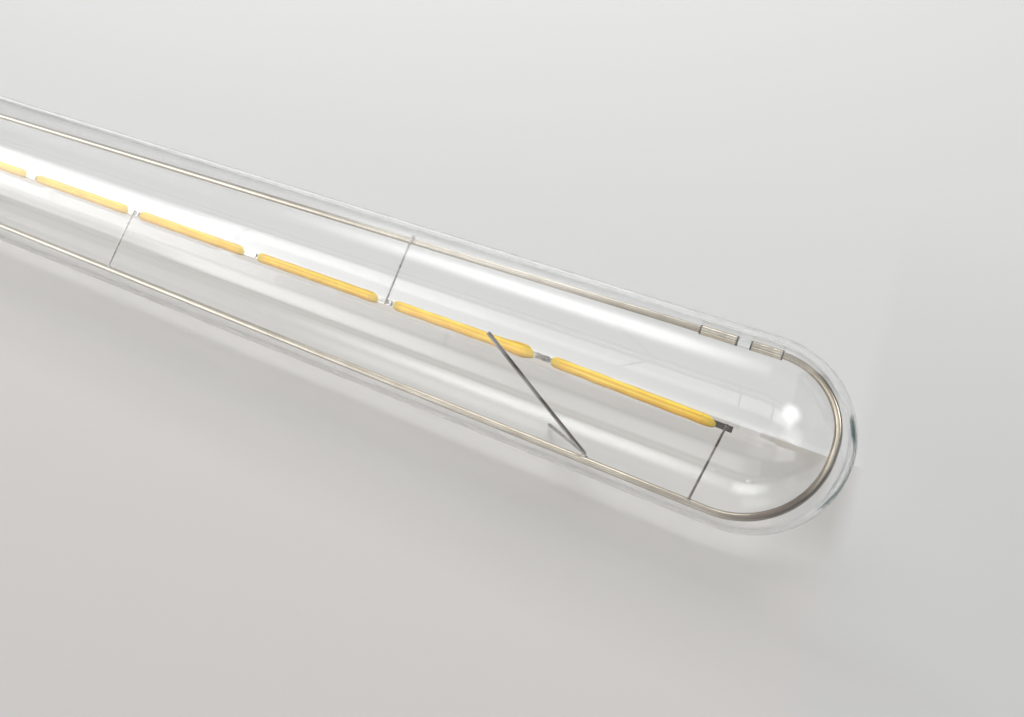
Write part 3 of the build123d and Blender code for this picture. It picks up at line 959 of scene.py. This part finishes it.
def insulating_joint():
    """Two sleeves and the glass rod that they grip, thicker in the gap between them."""
    sleeve("far_sleeve", sleeve_far_x, SLEEVE_FAR_LENGTH, "frame_sleeve_far")
    sleeve("bend_sleeve", sleeve_bend_x, SLEEVE_BEND_LENGTH, "frame_sleeve_bend")
    start = far_leg_end_x + TOUCH
    end = bend_end_x - TOUCH
    edge = ROD_EDGE
    collar_start = sleeve_bend_x - ROD_GAP + TOUCH
    collar_end = sleeve_bend_x - TOUCH
    collar = WIRE_RADIUS + ROD_COLLAR
    profile = [(start, 0), (start, WIRE_RADIUS - edge), (start + edge, WIRE_RADIUS)]
    profile += [(collar_start, WIRE_RADIUS)]
    profile += arc(collar_start + edge, collar - edge, edge, 180, 90, 5)
    profile += arc(collar_end - edge, collar - edge, edge, 90, 0, 5)
    profile += [(collar_end, WIRE_RADIUS), (end - edge, WIRE_RADIUS), (end, WIRE_RADIUS - edge), (end, 0)]
    piece("glass_rod", lathe(profile, 40, leg_y), stem_glass, ["insulator_rod"])


# Spreader spring
def prong_tip(x, angle):
    reach = bore_r - SPRING_RADIUS - TOUCH
    return (x, reach * cos(radians(angle)), reach * sin(radians(angle)))


def spreader_spring():
    corner_x = dome_x - SPRING_SETBACK
    corner = Vector((corner_x, WIRE_RADIUS + SPRING_RADIUS + TOUCH - near_leg_y(corner_x), 0))
    long_run, long_angle = LONG_PRONG
    short_run, short_angle = SHORT_PRONG
    tips = (prong_tip(corner_x - long_run, long_angle), prong_tip(corner_x - short_run, short_angle))
    path = bent_path((tips[0], corner, tips[1]), (SPRING_BEND,), radians(8))
    weld = bead(corner, SPRING_BEAD)
    solid = joined(swept(path, SPRING_RADIUS, 22, 0.12), weld)
    piece("v_spring", solid, spring_steel, ["spreader_spring"])


# Filament chain
def joint_place(number):
    """Station and sideways offset of a weld between tabs, counted from the dome end."""
    return chain_end_x - number * pitch, -END_JOINT_SAG if number == 0 else CHAIN_OFFSET


def filament_section(half_width, half_thickness, turn, sides=36):
    """Softly squared section of the coat with a faint groove along its upper and lower side."""
    power = COAT_SQUARENESS
    points = []
    for k in range(sides):
        t = 2 * pi * k / sides
        radius = (abs(cos(t)) ** power + abs(sin(t)) ** power) ** (-1 / power)
        groove = 1 - COAT_GROOVE_DEPTH * max(0.0, 1 - abs(cos(t)) / COAT_GROOVE_SHARE) ** 2
        y = half_width * radius * cos(t)
        z = half_thickness * radius * sin(t) * groove
        points.append((y * cos(turn) - z * sin(turn), y * sin(turn) + z * cos(turn)))
    return points


def filament_body(number, place):
    """One coated strip: a poured body, blunt towards the cap and drawn out towards the dome."""
    draw = random.Random(number)
    half = FILAMENT_LENGTH / 2
    phase = draw.uniform(0, 2 * pi)
    wobble = draw.uniform(0.01, 0.03)
    twist = radians(draw.uniform(-14, 14))
    swell = SWELL if number == SWOLLEN_STRIP else draw.uniform(0.0, 0.06)
    rings = []
    steps = 96
    for k in range(steps + 1):
        t = k / steps
        x = -half + FILAMENT_LENGTH * (t - RING_CROWDING * sin(4 * pi * t))
        blunt = sqrt(max(0.0, 1 - max(0.0, 1 - (x + half) / BLUNT_LENGTH) ** 2))
        drawn = max(0.0, 1 - (half - x) / DRAWN_LENGTH)
        taper = min(BLUNT_SHARE + (1 - BLUNT_SHARE) * blunt, 1 - DRAWN_LOSS * drawn**DRAWN_POWER)
        lean = -DRAWN_LEAN * FILAMENT_WIDTH / 2 * (1 - taper) if drawn > 0 else 0.0
        if half - x < TIP_EDGE:
            taper *= sqrt(max(TIP_SHARE, (half - x) / TIP_EDGE))
        bulge = swell * ease(0, 1, 1 - abs(half - SWELL_SETBACK - x) / SWELL_REACH)
        wave = 1 + wobble * sin(phase + COAT_WAVE * x)
        section = filament_section(
            FILAMENT_WIDTH / 2 * taper * wave * (1 + bulge),
            FILAMENT_THICKNESS / 2 * taper * (1 + 0.5 * bulge),
            twist * ease(0, 1, (x - half / 3) / half),
        )
        rings.append([place @ Vector((x, y + lean, z)) for y, z in section])
    solid = skin(rings)
    piece(f"strip_{number}", solid, phosphor, [f"filament_{number}"], 60)


def tab(name, start, low, place, node, material=tab_metal):
    """Stamped end tab: a flat strip with rolled edges, a pressed groove and two weld dimples."""
    length = TAB_ROOT + JOINT_GAP - TAB_CLEARANCE
    columns = 42
    rows = 14
    towards_dome = low > 0
    dimples = [length - from_end if towards_dome else from_end for from_end in DIMPLE_PLACES]
    top = []
    bottom = []
    for i in range(columns + 1):
        x = length * i / columns
        for j in range(rows + 1):
            y = -TAB_WIDTH / 2 + TAB_WIDTH * j / rows
            edge = min(x, length - x, TAB_WIDTH / 2 - abs(y))
            sunk = TAB_RIM * (1 - sqrt(min(edge / TAB_RIM, 1)))
            groove = GROOVE_DEPTH * ease(1, 0, (abs(y) - GROOVE_HALF) / GROOVE_EASE)
            groove *= ease(0, 1, min(x, length - x) / GROOVE_RUNOUT)
            dent = sum(max(0.0, 1 - ((x - d) ** 2 + y**2) / DIMPLE_SPREAD) for d in dimples) * DIMPLE_DEPTH
            top.append(place @ Vector((start + x, y, low + TAB_THICKNESS - sunk - max(groove, dent))))
            bottom.append(place @ Vector((start + x, y, low + sunk)))
    across = rows + 1
    count = len(top)
    faces = []
    for i in range(columns):
        for j in range(rows):
            a = i * across + j
            faces.append((a, a + across, a + across + 1, a + 1))
            faces.append((count + a, count + a + 1, count + a + across + 1, count + a + across))
    rim_line = [i * across for i in range(columns + 1)] + [columns * across + j for j in range(1, across)]
    rim_line += [i * across + rows for i in reversed(range(columns))] + list(reversed(range(1, rows)))
    for a, b in zip(rim_line, rim_line[1:] + rim_line[:1]):
        faces.append((b, a, count + a, count + b))
    piece(name, (top + bottom, faces), material, [node], 50)


def filament_chain():
    half = FILAMENT_LENGTH / 2
    reach = JOINT_GAP - TAB_CLEARANCE
    for number in range(1, FILAMENT_COUNT + 1):
        end_x, end_y = joint_place(number - 1)
        start_x, start_y = joint_place(number)
        tilt = Matrix.Rotation(atan2(end_y - start_y, end_x - start_x), 4, "Z")
        place = Matrix.Translation(((start_x + end_x) / 2, (start_y + end_y) / 2, 0)) @ tilt
        filament_body(number, place)
        low_tab = -TAB_THICKNESS - TOUCH / 2
        tab(f"tab_cap_{number}", -half - reach, low_tab, place, f"cap_tab_{number}")
        if number == 1:
            middle_z = TOUCH / 2 + TAB_THICKNESS / 2
            twist = Matrix.Rotation(radians(END_TAB_TWIST), 4, "X")
            place = place @ Matrix.Translation((0, 0, middle_z - END_TAB_DROP)) @ twist
            place = place @ Matrix.Translation((0, 0, -middle_z))
        # The tab at the dome end has painted shade in its colour
        finish = painted_dark_tab if number == 1 else tab_metal
        tab(f"tab_dome_{number}", half - TAB_ROOT, TOUCH / 2, place, f"dome_tab_{number}", finish)


def feed_wires():
    """Thin wires from every second weld, to the near leg's shoulder or over the far leg."""
    on_tab = TAB_THICKNESS + FEED_RADIUS + 2 * TOUCH
    over = WIRE_RADIUS + FEED_RADIUS + TOUCH
    for number in range(1, FILAMENT_COUNT // 2 + 2):
        x, y = joint_place(2 * (number - 1))
        spots = [bead((x, y, 0), TAB_BEAD)]
        if number % 2:
            foot = x - END_FEED_SLANT if number == 1 else x
            shoulder = sqrt(WIRE_RADIUS**2 - (on_tab - FEED_RADIUS) ** 2) + TOUCH - near_leg_y(foot)
            path = [Vector((x, y + TAB_WIDTH / 2, on_tab)), Vector((foot, shoulder, on_tab))]
            spots.append(bead((foot, shoulder, on_tab), NEAR_BEAD))
        else:
            behind = far_leg_y(x) + over
            points = ((x, y - TAB_WIDTH / 2, on_tab), (x, behind, over), (x, behind, over - FEED_HOOK))
            path = bent_path(points, (FEED_RADIUS + TOUCH,), radians(10))
            spots.append(bead((x, far_leg_y(x), over), FAR_BEAD))
        solid = joined(swept(path, FEED_RADIUS, 16), *spots)
        piece(f"feed_{number}", solid, thin_wire, [f"feed_wire_{number}"])


def dress_driver():
    """Finishes for the pieces inside the cap, which keep the frame's own shapes."""
    finishes = {
        "driver_board": laminate,
        "bridge_rectifier": package,
        "driver_chip": package,
        "smoothing_capacitor": can_sleeve,
        "fuse_resistor": lacquer,
        "live_wire": copper,
        "neutral_wire": copper,
    }
    for node, material in finishes.items():
        slots = frame["nodes"][node].data.materials
        slots.clear()
        slots.append(material)


# Floor, lights and camera
def sheet(name, corners, material):
    """A flat piece of the setting."""
    mesh = bpy.data.meshes.new(name)
    mesh.from_pydata(corners, [], [tuple(range(len(corners)))])
    mesh.materials.append(material)
    made = bpy.data.objects.new(name, mesh)
    bpy.context.collection.objects.link(made)
    return made


def floor():
    """The table, with the lamp's shadow painted into its colour under and beside the lamp, and its far side
    painted lighter.
    """
    material, graph = new_material("floor")
    x, y, _ = graph.split(graph.place())

    def span(value, low, high, ends):
        return graph.remap(value, low, high, *(end * MM for end in ends))

    # Painted shadow under the lamp, with a painted pale caustic line at its far edge, ending just beyond the
    # dome's tip and fading out beyond the cap's end
    first = FLOOR_PAINTED_SHADOW[0][0]
    last = FLOOR_PAINTED_SHADOW[-1][0]
    steps = []
    for at, tone in FLOOR_PAINTED_SHADOW:
        steps.append(((at - first) / (last - first), [c * t for c, t in zip(FLOOR_COLOUR, tone)]))
    painted_shadow = graph.ramp(span(y, 0, 1, (first, last)), steps)
    painted_shadow = graph.mixed(span(x, 0, 1, PAINTED_SHADOW_END), painted_shadow, FLOOR_COLOUR)
    painted_shadow = graph.mixed(span(x, 1, 0, PAINTED_SHADE_START), painted_shadow, FLOOR_COLOUR)
    # Painted light: the table lighter on its far side
    with_painted_light = graph.mixed(span(y, 0, 1, FAR_PAINTED_LIGHT_SPAN), painted_shadow, FAR_PAINTED_LIGHT_COLOUR)
    # Painted shade on the near side beside the lamp, fading out towards the dome's end and beyond the cap's
    # end
    outside, deepest, inside = NEAR_PAINTED_SHADE_SPAN
    painted_shade_band = graph.product(span(y, 0, 1, (outside, deepest)), span(y, 1, 0, (deepest, inside)))
    run = graph.product(span(x, 0, 1, PAINTED_SHADE_START), span(x, 1, 0, NEAR_PAINTED_SHADE_END))
    colour = graph.mixed(graph.product(painted_shade_band, run), with_painted_light, NEAR_PAINTED_SHADE_COLOUR)
    graph.surface({"Base Color": colour, "Roughness": 0.35, "Specular IOR Level": 0})
    corners = ((-1, -1), (1, -1), (1, 1), (-1, 1))
    sheet("floor", [(FLOOR_HALF * a, FLOOR_HALF * b, -tube_r * MM) for a, b in corners], material)


def world():
    """Pale background, with a plain even light on everything."""
    made = bpy.data.worlds.new("studio")
    bpy.context.scene.world = made
    made.use_nodes = True
    graph = Graph(made.node_tree)
    ray = graph.node("LightPath")
    seen = graph.maths("MAXIMUM", ray["Is Camera Ray"], ray["Is Transmission Ray"])
    seen = graph.maths("MAXIMUM", seen, ray["Is Glossy Ray"])
    light = graph.nodes["Background"]
    light.inputs["Color"].default_value = (AMBIENT, AMBIENT, AMBIENT, 1)
    shown = graph.node("Background", {"Color": (*BACKGROUND, 1)})["Background"]
    graph.show_mix(seen, light.outputs["Background"], shown, "World Output")


def soft_edge(graph, coordinate, low, high):
    """1 inside a panel, falling to 0 over a share of its size at each end."""
    rise = graph.remap(coordinate, 0, 1, 0, low, smooth=True)
    fall = graph.remap(coordinate, 0, 1, 1, 1 - high, smooth=True)
    return graph.product(rise, fall)


def from_middle(graph, place):
    """Distance from the middle of a panel, 1 at the middle of its edges."""
    distance = graph.node("VectorMath", {0: place, 1: (0.5, 0.5, 0)}, operation="DISTANCE")["Value"]
    return graph.remap(distance, 0, 1, 0, 0.5)


def softbox(name, place, target, size, radiance, across=(0.1, 0.1), along=(0.1, 0.1), glow=None):
    """A panel lamp that faces a point, as bright as a camera would see it. A glow makes it round."""
    light = bpy.data.lights.new(name, "AREA")
    light.shape = "ELLIPSE" if glow else "RECTANGLE"
    light.size, light.size_y = size
    area = size[0] * size[1] * (pi / 4 if glow else 1)
    light.energy = radiance * pi * area
    light.use_nodes = True
    graph = Graph(light.node_tree)
    spot = graph.node("NewGeometry")["Parametric"]
    if glow:
        strength = graph.remap(from_middle(graph, spot), 0, 1, 1, glow, smooth=True)
    else:
        x, y, _ = graph.split(spot)
        strength = graph.product(soft_edge(graph, x, *across), soft_edge(graph, y, *along))
    graph.links.new(strength, graph.nodes["Emission"].inputs["Strength"])
    lamp = bpy.data.objects.new(name, light)
    back = (Vector(place) - Vector(target)).normalized()
    side = Vector((1, 0, 0))
    side = (side - back * side.dot(back)).normalized()
    turn = Matrix((side, back.cross(side), back)).transposed().to_4x4()
    lamp.matrix_world = Matrix.Translation(place) @ turn
    lamp.visible_camera = False
    bpy.context.collection.objects.link(lamp)
    return lamp


def around_lamp(angle, distance, x):
    """A place at an angle above the near horizon, in a plane across the lamp."""
    return (x, -distance * cos(radians(angle)), distance * sin(radians(angle)))


def panel_x(slope):
    """Station at the panels' distance that a slope along the lamp leads to."""
    return PANEL_CENTRE + slope * PANEL_DISTANCE


def reflector(name, angles, slopes, radiance, across, along):
    """A panel over a span of angles and slopes that shows in glass and metal and lights nothing else."""
    low, high = angles
    left, right = (panel_x(slope) for slope in slopes)
    height = 2 * PANEL_DISTANCE * tan(radians(high - low) / 2)
    middle_x = (left + right) / 2
    place = around_lamp((low + high) / 2, PANEL_DISTANCE, middle_x)
    made = softbox(name, place, (middle_x, 0, 0), (right - left, height), radiance, across, along)
    made.visible_diffuse = False


def dark_card(name, corners, colour=FLAG_COLOUR):
    """A dark card that only glass and metal show, which gives them their dark edges."""
    material, graph = new_material(name)
    graph.surface({"Base Color": (*colour, 1), "Roughness": 1})
    made = sheet(name, corners, material)
    made.visible_camera = False
    made.visible_diffuse = False
    made.visible_shadow = False


def dark_flag(name, angles, slopes):
    """A dark card over a span of angles and slopes, behind the panels."""
    low, high = (around_lamp(angle, FLAG_DISTANCE, 0)[1:] for angle in angles)
    left, right = (panel_x(slope) for slope in slopes)
    dark_card(name, [(left, *low), (right, *low), (right, *high), (left, *high)])


def lights():
    key = softbox("key", around_lamp(*KEY_PLACE), KEY_TARGET, KEY_SIZE, KEY_RADIANCE)
    key.visible_glossy = False
    key.visible_transmission = False
    # Glass doesn't show the key lamp, so rays that leave a surface at random mustn't be counted on to find it
    key.data.cycles.use_multiple_importance_sampling = False
    for panel in PANELS:
        reflector(*panel)
    target = Vector(ROUND_TARGET)
    place = target + Vector(ROUND_DIRECTION) * PANEL_DISTANCE
    round_lamp = softbox("round_lamp", place, target, ROUND_SIZE, ROUND_RADIANCE, glow=ROUND_GLOW)
    round_lamp.visible_diffuse = False
    target = (RIM_PANEL_PLACE[0], 0, 0)
    rim = softbox("rim_panel", RIM_PANEL_PLACE, target, RIM_PANEL_SIZE, RIM_PANEL_RADIANCE, RIM_PANEL_FADE)
    rim.visible_diffuse = False
    rim.visible_transmission = False
    for flag in FLAGS:
        dark_flag(*flag)
    x, half, top = RIGHT_CARD
    dark_card("right_card", [(x, -half, 0), (x, half, 0), (x, half, top), (x, -half, top)])
    dark_card("teal_card", [(x * MM, y * MM, TEAL_Z * MM) for x, y in TEAL_CORNERS], TEAL_COLOUR)


def camera():
    data = bpy.data.cameras.new("camera")
    data.lens = LENS
    data.sensor_width = SENSOR
    data.sensor_fit = "HORIZONTAL"
    data.clip_start = CAMERA_NEAR
    made = bpy.data.objects.new("camera", data)
    made.location = CAMERA_PLACE
    made.rotation_euler = (radians(90 - CAMERA_PITCH), 0, radians(CAMERA_HEADING - 90))
    bpy.context.collection.objects.link(made)
    bpy.context.scene.camera = made


glass_tube()
glass_stem()
screw_shell()
cap_pieces()
frame_wires()
insulating_joint()
spreader_spring()
filament_chain()
feed_wires()
dress_driver()
floor()
world()
lights()
camera()
bpy.context.scene.view_settings.view_transform = "Standard"
